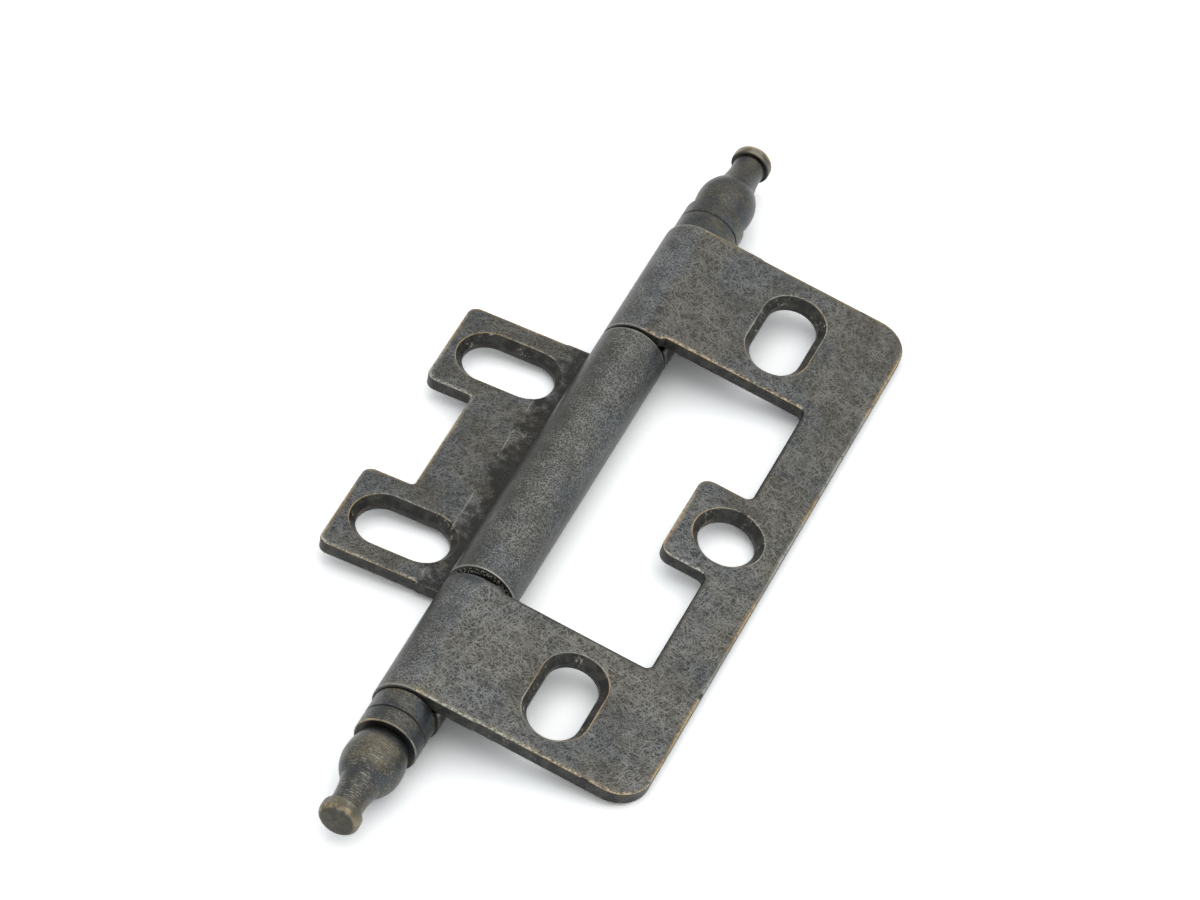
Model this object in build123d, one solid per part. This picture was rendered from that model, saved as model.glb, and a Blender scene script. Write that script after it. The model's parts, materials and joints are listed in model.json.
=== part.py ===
"""Non-mortise hinge with turned finials, lying open on a flat surface.

The pin runs along Y. The outer leaf lies towards +X, with its far edge on the surface, and the
inner leaf lies towards -X, raised a little. Z is up and the surface is at Z = 0. The origin is on
that surface, under the middle of the open hinge. All lengths are in millimetres.
"""

import os
from math import acos, asin, atan2, cos, degrees, hypot, radians, sin, tan

from build123d import *

# Sheet and barrel
SHEET_THICKNESS = 1.27
BARREL_DIAMETER = 6.35
ROLL_THINNING = 0.08  # sheet lost where the strap is pressed before it is rolled
ROLL_SPREAD = 0.10  # how far each end of the pressed strap grows wider
PRESS_START = 5.7  # the pressed stretch ends here, measured from the pin's axis
PRESS_RAMP = 0.4
ROLL_END_GAP = 0.05  # between the end of the roll and the leaf that it closes on
EDGE_ROUND = 0.14

# Outer leaf
LEAF_LENGTH = 63.5
OUTER_WIDTH = 21.25  # from the pin's axis to the far edge
OUTER_CORNER = 3.2
BAR_WIDTH = 5.0
WINDOW_LENGTH = 35.2
WINDOW_CORNER = 0.7
TAB_LENGTH = 4.75
TAB_WIDTH = 10.1
TAB_CORNER = 1.2
STRAP_STEP = 0.4  # the strap is this much narrower than its knuckle, on the window's side
STRAP_STEP_PLACE = 2.0

# Inner leaf
KNUCKLE_CLEARANCE = 0.62  # at each end of the middle knuckle, when it stands midway
BAR_CLEARANCE = 0.76  # between the inner leaf's edge and the bar, when it is folded in
TAB_CLEARANCE = 0.65  # between the notch and the end of the tab
TAB_SIDE_CLEARANCE = 1.15
INNER_CORNER = 1.0
NOTCH_CORNER = 0.4

# Screw holes
SINK_ANGLE = 82.0
SINK_RADIUS = 3.05
SINK_DEPTH = 0.75
OUTER_SLOT_STRAIGHT = 4.0  # the straight part, along the pin
OUTER_SLOT_INSET = 10.0  # from the leaf's far edge to the middle of the slot
INNER_SLOT_ROOT = 4.45  # from the pin's axis to the near end of the rim
INNER_SLOT_MARGIN = 1.0  # from the far end of the rim to the leaf's edge
ROUND_HOLE_SINK_RADIUS = 3.28
ROUND_HOLE_INSET = 5.05

# Pin
PIN_CLEARANCE = 0.05
PIN_END_CHAMFER = 0.3
PIN_END_GAP = 0.3

# Finials
FINIAL_SEAM = 0.06
SOCKET_FLOOR = 1.0
COLLAR_RADIUS = 2.93
COLLAR_LENGTH = 4.12
COLLAR_EDGE = 0.12
GROOVE_PLACE = 2.25
GROOVE_WIDTH = 0.26
GROOVE_DEPTH = 0.12
BULB_FOOT_RADIUS = 2.2
BULB_RADIUS = 2.77
BULB_PLACE = 6.6  # from the barrel's side of the collar to the bulb's widest place
NECK_PLACE = 9.04
NECK_START_RADIUS = 1.82
NECK_END_RADIUS = 1.52
NECK_HOLLOW = 0.15
BUTTON_PLACE = 12.45
BUTTON_RADIUS = 1.88
BUTTON_LENGTH = 1.4
BUTTON_DOME = 0.22
BUTTON_ROUND = 0.55
BUTTON_UNDER_ROUND = 0.2

# How the hinge lies
INNER_LEAF_RAISE = 6.1  # degrees above the surface
SLIDE = 0.29  # the inner leaf stands this far up the pin, as end play lets it

# Worked out from the sizes above
BARREL_RADIUS = BARREL_DIAMETER / 2
ROLL_THICKNESS = SHEET_THICKNESS - ROLL_THINNING
KNUCKLE_BORE_RADIUS = BARREL_RADIUS - ROLL_THICKNESS
PIN_RADIUS = KNUCKLE_BORE_RADIUS - PIN_CLEARANCE
INNER_FACE = BARREL_RADIUS - SHEET_THICKNESS  # height of the leaf's inner face over the pin's axis
PRESS_END = PRESS_START + PRESS_RAMP
BARREL_LENGTH = LEAF_LENGTH + 2 * ROLL_SPREAD
MIDDLE_SPACE = WINDOW_LENGTH - 2 * STRAP_STEP
WINDOW_EDGE = OUTER_WIDTH - BAR_WIDTH
TAB_TIP = WINDOW_EDGE - TAB_LENGTH
INNER_KNUCKLE_LENGTH = MIDDLE_SPACE - 2 * KNUCKLE_CLEARANCE
INNER_LENGTH = INNER_KNUCKLE_LENGTH - 2 * ROLL_SPREAD
INNER_WIDTH = WINDOW_EDGE - BAR_CLEARANCE
NOTCH_PLACE = TAB_TIP - TAB_CLEARANCE
NOTCH_WIDTH = TAB_WIDTH + 2 * TAB_SIDE_CLEARANCE
SINK_INSET = SINK_DEPTH * tan(radians(SINK_ANGLE / 2))
OUTER_SLOT_PLACE = OUTER_WIDTH - OUTER_SLOT_INSET
OUTER_SLOT_SPACING = (LEAF_LENGTH + WINDOW_LENGTH) / 2
INNER_SLOT_END = INNER_WIDTH - INNER_SLOT_MARGIN
INNER_SLOT_STRAIGHT = INNER_SLOT_END - INNER_SLOT_ROOT - 2 * SINK_RADIUS
INNER_SLOT_PLACE = (INNER_SLOT_END + INNER_SLOT_ROOT) / 2
INNER_SLOT_SPACING = (INNER_LENGTH + NOTCH_WIDTH) / 2
ROUND_HOLE_PLACE = OUTER_WIDTH - ROUND_HOLE_INSET
SOCKET_DEPTH = COLLAR_LENGTH - SOCKET_FLOOR
PIN_LENGTH = BARREL_LENGTH + 2 * (FINIAL_SEAM + SOCKET_DEPTH - PIN_END_GAP)
FINIAL_LENGTH = BUTTON_PLACE + BUTTON_LENGTH
BUTTON_DOME_RADIUS = (BUTTON_RADIUS ** 2 + BUTTON_DOME ** 2) / (2 * BUTTON_DOME)

# The far lower edge of the outer leaf touches the surface that the barrel lies on
OUTER_LEAF_DROP = degrees(
    asin(BARREL_RADIUS / hypot(OUTER_WIDTH, INNER_FACE)) + atan2(INNER_FACE, OUTER_WIDTH)
)

# The pin's axis, set so that the origin is midway between the two leaves' edges
OUTER_REACH = (OUTER_WIDTH * cos(radians(OUTER_LEAF_DROP))
               + BARREL_RADIUS * sin(radians(OUTER_LEAF_DROP)))
INNER_REACH = (INNER_WIDTH * cos(radians(INNER_LEAF_RAISE))
               + BARREL_RADIUS * sin(radians(INNER_LEAF_RAISE)))
PIN_AXIS_X = (INNER_REACH - OUTER_REACH) / 2
PIN_AXIS_Z = BARREL_RADIUS

MARGIN = 1.0  # how far a cutting shape runs past what it cuts
NEAR = 0.001  # how close two places are to count as the same


def corners_at(sketch, x, y):
    """The corners of a plan at a distance x from the pin, on both sides of the middle."""
    return [v for v in sketch.vertices() if abs(v.X - x) < NEAR and abs(abs(v.Y) - y) < NEAR]


def both_sides(points):
    """A closed plan from the points on its +Y side, which are mirrored in the X axis."""
    return Polygon(*[(x, -y) for x, y in points], *reversed(points), align=None)


def strip_plan(width, half_length):
    """The outline of a leaf's flat part, wider where the strap is pressed."""
    return both_sides([
        (0, half_length + ROLL_SPREAD),
        (PRESS_START, half_length + ROLL_SPREAD),
        (PRESS_END, half_length),
        (width, half_length),
    ])


def outer_plan():
    """The outer leaf's outline, with its window and tab."""
    half = LEAF_LENGTH / 2
    half_window = WINDOW_LENGTH / 2
    half_tab = TAB_WIDTH / 2
    window = both_sides([
        (-MARGIN, MIDDLE_SPACE / 2),
        (STRAP_STEP_PLACE - STRAP_STEP / 2, MIDDLE_SPACE / 2),
        (STRAP_STEP_PLACE + STRAP_STEP / 2, half_window),
        (WINDOW_EDGE, half_window),
        (WINDOW_EDGE, half_tab),
        (TAB_TIP, half_tab),
    ])
    inside_corners = corners_at(window, WINDOW_EDGE, half_window)
    inside_corners += corners_at(window, WINDOW_EDGE, half_tab)
    window = fillet(inside_corners, WINDOW_CORNER)
    window = fillet(corners_at(window, TAB_TIP, half_tab), TAB_CORNER)
    plan = strip_plan(OUTER_WIDTH, half)
    return fillet(corners_at(plan, OUTER_WIDTH, half), OUTER_CORNER) - window


def inner_plan():
    """The inner leaf's outline, with the notch that clears the tab."""
    half = INNER_LENGTH / 2
    half_notch = NOTCH_WIDTH / 2
    notch = both_sides([(NOTCH_PLACE, half_notch), (INNER_WIDTH + MARGIN, half_notch)])
    notch = fillet(corners_at(notch, NOTCH_PLACE, half_notch), NOTCH_CORNER)
    plan = strip_plan(INNER_WIDTH, half) - notch
    tips = corners_at(plan, INNER_WIDTH, half) + corners_at(plan, INNER_WIDTH, half_notch)
    return fillet(tips, INNER_CORNER)


def flat_sheet(plan):
    """The flat part of a leaf: its cut edges are rounded and its strap is pressed thinner."""
    sheet = Pos(0, 0, INNER_FACE) * extrude(plan, SHEET_THICKNESS)
    rims = [
        e for e in sheet.edges()
        if e.center().X > NEAR and max(v.Z for v in e.vertices()) - min(v.Z for v in e.vertices()) < NEAR
    ]
    pressed = Polygon(
        (-MARGIN, INNER_FACE - MARGIN),
        (PRESS_END, INNER_FACE - MARGIN),
        (PRESS_END, INNER_FACE),
        (PRESS_START, KNUCKLE_BORE_RADIUS),
        (-MARGIN, KNUCKLE_BORE_RADIUS),
        align=None,
    )
    return fillet(rims, EDGE_ROUND) - extrude(Plane.XZ * pressed, BARREL_LENGTH, both=True)


def rolled_knuckle(length):
    """A stretch of the tube that the strap is rolled into, which closes on the strap again."""
    closes_at = degrees(acos((KNUCKLE_BORE_RADIUS - ROLL_END_GAP) / BARREL_RADIUS))
    outside = CenterArc((0, 0), BARREL_RADIUS, 90, 360 - closes_at)
    inside = CenterArc((0, 0), KNUCKLE_BORE_RADIUS, 90, 360 - closes_at)
    section = make_face([outside, inside, Line(outside @ 0, inside @ 0), Line(outside @ 1, inside @ 1)])
    tube = extrude(Plane.XZ * section, length / 2, both=True)
    circles = tube.edges().filter_by(GeomType.CIRCLE)
    rims = [e for e in circles if abs(e.radius - BARREL_RADIUS) < NEAR]
    return fillet(rims, EDGE_ROUND)


def screw_hole(straight, sink_radius, along_pin):
    """A cutter for a countersunk hole, with its rim at Z = 0 and its narrow end below.

    The hole is round where straight is 0, and otherwise drawn out into a slot.
    """
    turn = 90 if along_pin else 0
    rim = SlotCenterToCenter(straight, 2 * sink_radius, rotation=turn)
    land = SlotCenterToCenter(straight, 2 * (sink_radius - SINK_INSET), rotation=turn)
    sink = extrude(rim, -SINK_DEPTH, taper=SINK_ANGLE / 2)
    return extrude(rim, MARGIN) + sink + extrude(land, -SHEET_THICKNESS - MARGIN)


def outer_leaf():
    """The outer leaf about the Y axis, in its own plane, countersunk on its outer face."""
    leaf = flat_sheet(outer_plan())
    knuckle_length = (BARREL_LENGTH - MIDDLE_SPACE) / 2
    knuckle = rolled_knuckle(knuckle_length)
    slot = screw_hole(OUTER_SLOT_STRAIGHT, SINK_RADIUS, along_pin=True)
    for side in (-1, 1):
        leaf += Pos(0, side * (MIDDLE_SPACE + knuckle_length) / 2, 0) * knuckle
        leaf -= Pos(OUTER_SLOT_PLACE, side * OUTER_SLOT_SPACING / 2, BARREL_RADIUS) * slot
    tab_hole = screw_hole(0, ROUND_HOLE_SINK_RADIUS, along_pin=False)
    return leaf - Pos(ROUND_HOLE_PLACE, 0, BARREL_RADIUS) * tab_hole


def inner_leaf():
    """The inner leaf about the Y axis, in its own plane, countersunk on its inner face."""
    leaf = flat_sheet(inner_plan()) + rolled_knuckle(INNER_KNUCKLE_LENGTH)
    slot = Rot(X=180) * screw_hole(INNER_SLOT_STRAIGHT, SINK_RADIUS, along_pin=False)
    for side in (-1, 1):
        leaf -= Pos(INNER_SLOT_PLACE, side * INNER_SLOT_SPACING / 2, INNER_FACE) * slot
    return leaf


def hinge_pin():
    """The plain pin, long enough to fill both finials' sockets."""
    pin = Rot(X=90) * Cylinder(PIN_RADIUS, PIN_LENGTH)
    return chamfer(pin.edges().filter_by(GeomType.CIRCLE), PIN_END_CHAMFER)


def collar_outline():
    """The outline of the finial's collar, with its turned groove, from the axis to the bulb."""
    return Polyline(
        (0, 0),
        (COLLAR_RADIUS - COLLAR_EDGE, 0),
        (COLLAR_RADIUS, COLLAR_EDGE),
        (COLLAR_RADIUS, GROOVE_PLACE - GROOVE_WIDTH / 2),
        (COLLAR_RADIUS - GROOVE_DEPTH, GROOVE_PLACE),
        (COLLAR_RADIUS, GROOVE_PLACE + GROOVE_WIDTH / 2),
        (COLLAR_RADIUS, COLLAR_LENGTH - COLLAR_EDGE),
        (COLLAR_RADIUS - COLLAR_EDGE, COLLAR_LENGTH),
        (BULB_FOOT_RADIUS, COLLAR_LENGTH),
    )


def bulb_outline():
    """The side of the bulb, in two arcs that meet at its widest place."""
    widest = (BULB_RADIUS, BULB_PLACE)
    foot_side = TangentArc(widest, (BULB_FOOT_RADIUS, COLLAR_LENGTH), tangent=(0, -1))
    neck_side = TangentArc(widest, (NECK_START_RADIUS, NECK_PLACE), tangent=(0, 1))
    return foot_side, neck_side


def neck_outline():
    """The side of the neck, slightly hollow, from the bulb to the button."""
    return ThreePointArc(
        (NECK_START_RADIUS, NECK_PLACE),
        ((NECK_START_RADIUS + NECK_END_RADIUS) / 2 - NECK_HOLLOW, (NECK_PLACE + BUTTON_PLACE) / 2),
        (NECK_END_RADIUS, BUTTON_PLACE),
    )


def button_outline():
    """The side and the domed end of the button, back to the axis."""
    shoulder = FINIAL_LENGTH - BUTTON_DOME
    foot, rim = (NECK_END_RADIUS, BUTTON_PLACE), (BUTTON_RADIUS, BUTTON_PLACE)
    side = Polyline(foot, rim, (BUTTON_RADIUS, shoulder))
    return [side, RadiusArc(side @ 1, (0, FINIAL_LENGTH), -BUTTON_DOME_RADIUS)]


def finial():
    """A turned finial that stands on the plane Y = 0, points along +Y and has a socket for the pin."""
    outline = [collar_outline(), *bulb_outline(), neck_outline(), *button_outline()]
    profile = make_face([*outline, Line((0, FINIAL_LENGTH), (0, 0))])
    profile = fillet(corners_at(profile, BUTTON_RADIUS, FINIAL_LENGTH - BUTTON_DOME), BUTTON_ROUND)
    profile = fillet(corners_at(profile, BUTTON_RADIUS, BUTTON_PLACE), BUTTON_UNDER_ROUND)
    socket = Pos(0, SOCKET_DEPTH / 2, 0) * Rot(X=90) * Cylinder(PIN_RADIUS, SOCKET_DEPTH)
    return revolve(profile, Axis.Y) - socket


def laid_down(leaf, turn, along=0):
    """A leaf turned about the pin's axis, which is then set over the surface."""
    return Pos(PIN_AXIS_X, along, PIN_AXIS_Z) * Rot(Y=turn) * leaf


def all_parts():
    """Each piece of the hinge in its place, by name."""
    pin_place = Pos(PIN_AXIS_X, 0, PIN_AXIS_Z)
    finial_place = Pos(0, BARREL_LENGTH / 2 + FINIAL_SEAM, 0)
    return {
        "outer_leaf": laid_down(outer_leaf(), OUTER_LEAF_DROP),
        "inner_leaf": laid_down(inner_leaf(), 180 + INNER_LEAF_RAISE, SLIDE),
        "hinge_pin": pin_place * hinge_pin(),
        "upper_finial": pin_place * finial_place * finial(),
        "lower_finial": pin_place * Rot(Z=180) * finial_place * finial(),
    }


os.makedirs("parts", exist_ok=True)
for name, shape in all_parts().items():
    export_step(shape, f"parts/{name}.step")
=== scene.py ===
"""Finish, studio and camera for a non-mortise hinge with turned finials, laid out as an add-on."""

import json
import math

import bpy
from bpy.props import FloatProperty, FloatVectorProperty, PointerProperty
from mathutils import Matrix, Vector


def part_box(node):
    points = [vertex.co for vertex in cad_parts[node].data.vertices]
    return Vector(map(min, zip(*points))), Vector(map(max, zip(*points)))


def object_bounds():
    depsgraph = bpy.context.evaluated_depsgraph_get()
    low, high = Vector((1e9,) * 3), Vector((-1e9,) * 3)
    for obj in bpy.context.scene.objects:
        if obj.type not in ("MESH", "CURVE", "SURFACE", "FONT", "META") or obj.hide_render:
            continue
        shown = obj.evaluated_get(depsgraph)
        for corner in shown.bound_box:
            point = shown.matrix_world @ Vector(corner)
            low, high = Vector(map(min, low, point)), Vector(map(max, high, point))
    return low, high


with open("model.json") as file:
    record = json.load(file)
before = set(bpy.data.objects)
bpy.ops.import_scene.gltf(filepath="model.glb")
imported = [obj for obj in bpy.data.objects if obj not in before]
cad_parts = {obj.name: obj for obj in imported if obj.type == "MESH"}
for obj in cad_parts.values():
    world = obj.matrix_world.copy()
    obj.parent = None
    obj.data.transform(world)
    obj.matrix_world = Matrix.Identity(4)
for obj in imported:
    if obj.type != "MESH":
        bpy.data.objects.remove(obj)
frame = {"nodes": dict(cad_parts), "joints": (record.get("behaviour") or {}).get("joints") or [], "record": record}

bl_info = {
    "name": "Non-mortise hinge",
    "version": (1, 0, 0),
    "blender": (4, 5, 0),
    "location": "3D View > Sidebar > Hinge",
    "description": "Antiqued finish, studio and camera for a non-mortise hinge with finials",
    "category": "Object",
}

MM = 0.001
TO_MM = 1000.0
Y_AXIS = Vector((0, 1, 0))
DULL_GLOSS = 0.3  # the specular level of what isn't bare metal
SENSOR_WIDTH = 36.0  # mm
CAMERA_CLIP = (0.01, 10.0)  # m

# What the frame says of the hinge
PIN_AXIS = Vector(frame["joints"][0]["pos_m"])
SEATS = {
    mount["name"]: Vector(mount["axis"]) for mount in frame["record"]["mounts"] if "seat" in mount["name"]
}
BARREL_MM = TO_MM * (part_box("inner_leaf")[1].z - PIN_AXIS.z)  # the barrel's radius
WHOLE_LOW, WHOLE_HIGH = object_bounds()


# Properties


def colour_prop(name, description, default):
    return FloatVectorProperty(
        name=name, description=description, default=default, subtype="COLOR", size=3, min=0, max=1
    )


def share_prop(name, description, default):
    return FloatProperty(name=name, description=description, default=default, min=0, max=1, subtype="FACTOR")


def length_prop(name, description, default):
    return FloatProperty(
        name=name, description=description, default=default, min=0, unit="LENGTH", precision=5
    )


class SheetFinish(bpy.types.PropertyGroup):
    """The tumbled, antiqued finish of both leaves."""

    dark: colour_prop("Dark patina", "Colour of the unworn patina", (0.030, 0.030, 0.028))
    worn: colour_prop("Worn patina", "Colour of the strokes that tumbling has left", (0.302, 0.304, 0.288))
    rubbed: colour_prop("Rubbed border", "Colour of the smooth border inside an edge", (0.078, 0.078, 0.068))
    warm: colour_prop("Warm tint", "Olive brown that the patina leans to in places", (0.096, 0.084, 0.058))
    # Also the painted bluish reflection on one side of the roll
    cool_tint_and_reflection: colour_prop("Cool tint", "Blue grey that the patina leans to in places", (0.066, 0.077, 0.090))
    # Also the painted shade on one side of the barrel
    smooth: colour_prop("Smooth patina", "Colour where the roll kept the strokes off", (0.051, 0.050, 0.044))
    # Also paints the shade beside the barrel, at the gap by the window and on the window's edges
    pressed_and_shade: colour_prop("Pressed strip", "Colour of the strip beside the roll", (0.021, 0.021, 0.020))
    wall: colour_prop("Sheared walls", "Colour of sheared edges and countersinks", (0.050, 0.049, 0.042))
    # The bare and bright metal colours also paint the highlight on the worn edges
    bare: colour_prop("Bare metal", "Colour where an edge is worn through", (0.620, 0.430, 0.200))
    silver: colour_prop("Bright metal", "Colour of glints and of the paler worn edges", (0.500, 0.492, 0.440))
    tan: colour_prop("Rubbed ends", "Colour that the leaf's two ends are rubbed to", (0.262, 0.234, 0.170))
    stroke: length_prop("Stroke width", "Width of one tumbling stroke", 0.00012)
    mottle: length_prop("Mottle width", "Size of the light and dark patches", 0.0019)
    drift: length_prop("Tint width", "Size of the warm and cool areas", 0.0055)
    # The bright line on an edge is worn metal and painted highlight
    edge_wear_and_highlight: length_prop("Edge wear", "Width of the bright line on an edge", 0.00018)
    rub: length_prop("Rubbed border", "Width of the smoother border inside an edge", 0.0012)
    press_line: length_prop("Press line", "From the pin's axis to the line that pressing left", 0.0059)
    window_edge: length_prop("Window edge", "From the pin's axis to the window's far edge", 0.01625)
    window_end: length_prop("Window end", "From the hinge's middle to the window's lower end", 0.0176)
    relief: length_prop("Relief", "Height of the finest relief", 0.000014)
    roughness: share_prop("Roughness", "Roughness of the unworn patina", 0.44)


class TurningFinish(bpy.types.PropertyGroup):
    """The antiqued finish of the turned finials."""

    dark: colour_prop("Dark patina", "Colour of the unworn patina", (0.050, 0.053, 0.056))
    # Paints the bluish reflection on the finial's right side
    cool_tint_and_reflection: colour_prop("Cool patina", "Blue grey that the patina's right side leans to", (0.072, 0.083, 0.094))
    brown: colour_prop("Brown patina", "Colour that the patina clouds to", (0.066, 0.064, 0.055))
    # The worn and brassy colours also paint light on the finial's top, and the worn colour a highlight on the
    # button's side
    worn: colour_prop("Worn patina", "Colour of the rubbed turning marks", (0.250, 0.248, 0.225))
    brassy: colour_prop("Brassy patches", "Colour where the patina is rubbed thin", (0.158, 0.136, 0.088))
    # Also the painted shade at the foot's seam and the painted shadow on the bulb's base
    hollow_and_shade: colour_prop("Hollows", "Colour in the groove and under ledge and button", (0.022, 0.021, 0.020))
    bare: colour_prop("Bare metal", "Colour where a rim is worn through", (0.560, 0.420, 0.250))
    mark: length_prop("Turning mark", "Width of one turning mark", 0.00015)
    patch: length_prop("Patch", "Size of the rubbed patches", 0.0015)
    # The bright line on a rim is worn metal and painted highlight
    edge_wear_and_highlight: length_prop("Edge wear", "Width of the bright line on a rim", 0.00020)
    groove: length_prop("Groove", "From the finial's foot to the groove round its collar", 0.00225)
    ledge: length_prop("Ledge", "From the finial's foot to the end of its collar", 0.00412)
    button: length_prop("Button", "From the finial's foot to the underside of its button", 0.01245)
    pitch: length_prop("Pitch", "From one turning mark to the next", 0.00026)
    relief: length_prop("Relief", "Height of the turning marks", 0.000015)
    roughness: share_prop("Roughness", "Roughness of the unworn patina", 0.40)


class PinFinish(bpy.types.PropertyGroup):
    """The drawn steel of the pin."""

    steel: colour_prop("Steel", "Colour of the darkened steel", (0.110, 0.105, 0.100))
    line: length_prop("Drawing line", "Width of one drawing line", 0.00010)
    roughness: share_prop("Roughness", "Roughness of the steel", 0.38)


class Studio(bpy.types.PropertyGroup):
    """Floor, light and camera."""

    floor: colour_prop("Floor", "Colour of the floor", (0.908, 0.925, 0.935))
    floor_size: length_prop("Floor size", "Length of the floor's side", 2.4)
    floor_white: FloatProperty(
        name="Floor white", description="How much brighter the camera sees the floor", default=1.78, min=1
    )
    dome: colour_prop("Dome", "Colour of the light from all round", (0.650, 0.656, 0.660))
    key_strength: FloatProperty(name="Key", description="Strength of the soft key light", default=0.72, min=0)
    key_colour: colour_prop("Key colour", "Colour of the soft key light", (1.000, 0.985, 0.955))
    key_spread: FloatProperty(
        name="Key spread", description="Angle that the key light fills", default=math.radians(75),
        subtype="ANGLE",
    )
    key_from: FloatVectorProperty(
        name="Key from", description="Where the key light comes from", default=(0.25, 0.12, 1.0),
        subtype="DIRECTION",
    )
    lens: FloatProperty(
        name="Lens", description="Focal length on a 36 mm sensor, in mm", default=207.14, min=1
    )
    camera_place: FloatVectorProperty(
        name="Camera", description="Where the camera stands", default=(0.15696, -0.40024, 0.42973),
        unit="LENGTH",
    )
    camera_aim: FloatVectorProperty(
        name="Aim", description="The point that the camera looks at", default=(-0.00171, 0.00745, 0.0),
        unit="LENGTH",
    )
    camera_roll: FloatProperty(
        name="Roll", description="Turn of the camera about its line of sight", default=math.radians(3.062),
        subtype="ANGLE",
    )


class HingeSettings(bpy.types.PropertyGroup):
    """All settings of the hinge."""

    sheet: PointerProperty(type=SheetFinish)
    turning: PointerProperty(type=TurningFinish)
    pin: PointerProperty(type=PinFinish)
    studio: PointerProperty(type=Studio)


# Shader building


class Shader:
    """A new material's node tree, with short calls for the nodes that the finishes need."""

    def __init__(self, name):
        self.material = bpy.data.materials.new(name)
        self.material.use_nodes = True
        self.tree = self.material.node_tree
        self.tree.nodes.clear()

    def node(self, kind, **settings):
        made = self.tree.nodes.new(kind)
        for key, value in settings.items():
            setattr(made, key, value)
        return made

    def feed(self, socket, value):
        if isinstance(value, bpy.types.NodeSocket):
            self.tree.links.new(value, socket)
        else:
            socket.default_value = value

    def maths(self, operation, *values, clamp=False):
        made = self.node("ShaderNodeMath", operation=operation, use_clamp=clamp)
        for socket, value in zip(made.inputs, values):
            self.feed(socket, value)
        return made.outputs[0]

    def product(self, first, *others):
        for other in others:
            first = self.maths("MULTIPLY", first, other)
        return first

    def largest(self, first, *others):
        for other in others:
            first = self.maths("MAXIMUM", first, other)
        return first

    def invert(self, share):
        return self.maths("SUBTRACT", 1.0, share)

    def distance(self, value, place):
        return self.maths("ABSOLUTE", self.maths("SUBTRACT", value, place))

    def length(self, first, second):
        squares = [self.maths("MULTIPLY", value, value) for value in (first, second)]
        return self.maths("SQRT", self.maths("ADD", *squares))

    def ramp(self, value, low, high, low_to=0.0, high_to=1.0):
        """A smooth change from `low_to` at `low` to `high_to` at `high`."""
        made = self.node("ShaderNodeMapRange", interpolation_type="SMOOTHSTEP")
        for name, number in zip(
            ("Value", "From Min", "From Max", "To Min", "To Max"), (value, low, high, low_to, high_to)
        ):
            self.feed(made.inputs[name], number)
        return made.outputs["Result"]

    def fall(self, value, low, high, top=1.0):
        """A smooth fall from `top` at `low` to 0 at `high`."""
        return self.ramp(value, low, high, top, 0.0)

    def band(self, value, start, full, fading, end):
        """1 between `full` and `fading`, and 0 before `start` and after `end`."""
        return self.product(self.ramp(value, start, full), self.fall(value, fading, end))

    def vector(self, operation, *values, scale=None):
        made = self.node("ShaderNodeVectorMath", operation=operation)
        for socket, value in zip(made.inputs, values):
            self.feed(socket, value)
        if scale is not None:
            self.feed(made.inputs["Scale"], scale)
        return made.outputs["Value" if operation == "DOT_PRODUCT" else "Vector"]

    def lean(self, normal, direction):
        """How far a normal points along a direction, either way, from 0 to 1."""
        return self.maths("ABSOLUTE", self.vector("DOT_PRODUCT", normal, direction))

    def joined(self, *values):
        made = self.node("ShaderNodeCombineXYZ")
        for socket, value in zip(made.inputs, values):
            self.feed(socket, value)
        return made.outputs["Vector"]

    def coordinates(self):
        """The place from the middle of the pin, in mm, and the normal, both in the piece's own frame."""
        made = self.node("ShaderNodeTexCoord")
        place = self.vector("SUBTRACT", made.outputs["Object"], PIN_AXIS)
        return self.vector("SCALE", place, scale=TO_MM), made.outputs["Normal"]

    def noise(self, place, width, detail=2.0, roughness=0.5, stretch=(1, 1, 1), shift=0.0, output="Fac"):
        """Noise whose features are about as wide as `width`, longer by `stretch` along each direction."""
        scale = tuple(MM / (width * s) for s in stretch)
        spread = self.vector("MULTIPLY_ADD", place, scale, (shift, shift, shift))
        made = self.node("ShaderNodeTexNoise")
        self.feed(made.inputs["Vector"], spread)
        self.feed(made.inputs["Scale"], 1.0)
        self.feed(made.inputs["Detail"], detail)
        self.feed(made.inputs["Roughness"], roughness)
        return made.outputs[output]

    def mix(self, share, first, second):
        """A colour: `first` where `share` is 0 and `second` where it is 1."""
        made = self.node("ShaderNodeMix", data_type="RGBA")
        self.feed(made.inputs["Factor"], share)
        for name, value in (("A", first), ("B", second)):
            socket = next(s for s in made.inputs if s.name == name and s.type == "RGBA")
            self.feed(socket, value if isinstance(value, bpy.types.NodeSocket) else (*value, 1.0))
        return next(s for s in made.outputs if s.type == "RGBA")

    def blend(self, share, first, second):
        """A number: `first` where `share` is 0 and `second` where it is 1."""
        made = self.node("ShaderNodeMix", data_type="FLOAT")
        self.feed(made.inputs["Factor"], share)
        self.feed(made.inputs["A"], first)
        self.feed(made.inputs["B"], second)
        return made.outputs["Result"]

    def edge(self, width, samples=6):
        """How far the surface turns within `width`, 0 on a flat stretch, and the normal that it turns to."""
        bevel = self.node("ShaderNodeBevel", samples=samples)
        self.feed(bevel.inputs["Radius"], width)
        turned = bevel.outputs["Normal"]
        normal = self.node("ShaderNodeNewGeometry").outputs["Normal"]
        return self.invert(self.vector("DOT_PRODUCT", turned, normal)), turned

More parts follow.
